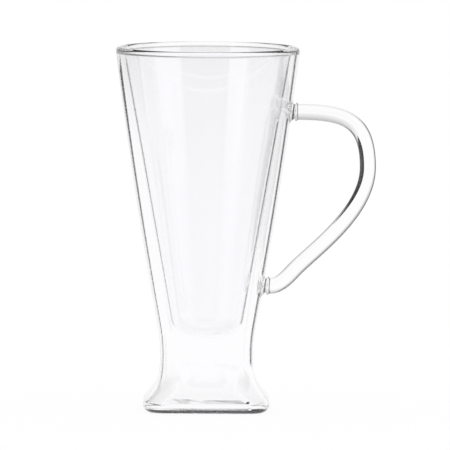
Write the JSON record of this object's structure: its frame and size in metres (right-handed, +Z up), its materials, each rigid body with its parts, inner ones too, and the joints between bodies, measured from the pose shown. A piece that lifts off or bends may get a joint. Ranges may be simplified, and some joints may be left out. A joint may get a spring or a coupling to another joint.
{
  "type": "double-walled glass mug",
  "caption": "Tall conical double-walled glass mug with a round-bottomed inner cup, a waisted jacket on a hollow square foot, and a bent glass rod handle.",
  "frame": {"origin": "centre of the flat underside of the foot, on the axis of the cup", "axes": "+Z up along the cup's axis, +X towards the handle, +Y away from the viewer of the picture"},
  "size_m": [0.1192, 0.084, 0.1665],
  "materials": {
    "clear_glass": "fire-polished, clear and colourless",
    "dark_silicone": "matt moulded silicone"
  },
  "bodies": {
    "root": {"inner_cup": "clear_glass", "outer_jacket": "clear_glass", "rim_bead": "clear_glass", "foot_base": "clear_glass", "vent_plug": "dark_silicone", "handle_rod": "clear_glass", "upper_handle_weld": "clear_glass", "lower_handle_weld": "clear_glass"}
  },
  "joints": []
}
